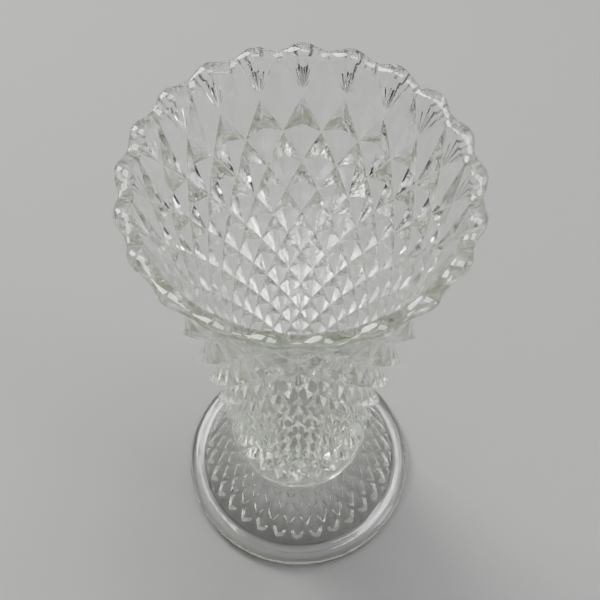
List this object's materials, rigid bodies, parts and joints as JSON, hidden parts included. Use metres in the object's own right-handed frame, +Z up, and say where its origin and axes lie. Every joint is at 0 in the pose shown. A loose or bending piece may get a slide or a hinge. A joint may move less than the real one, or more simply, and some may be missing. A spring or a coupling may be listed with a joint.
{
  "type": "footed pressed glass vase",
  "caption": "Flared vase of clear pressed glass with diamond points outside, a scalloped lip and a hollow domed foot with pressed petals.",
  "frame": {"origin": "where the vase's axis meets the surface that it stands on", "axes": "+Z up along the vase's axis, +Y through the top of one scallop, -Y through the notch opposite it"},
  "size_m": [0.128, 0.1277, 0.254],
  "materials": {
    "clear_glass": "clear pressed glass, fire-polished, with a faint grey-green tint where it is thick"
  },
  "bodies": {
    "root": {"body": "clear_glass", "collar": "clear_glass", "foot": "clear_glass"}
  },
  "joints": []
}
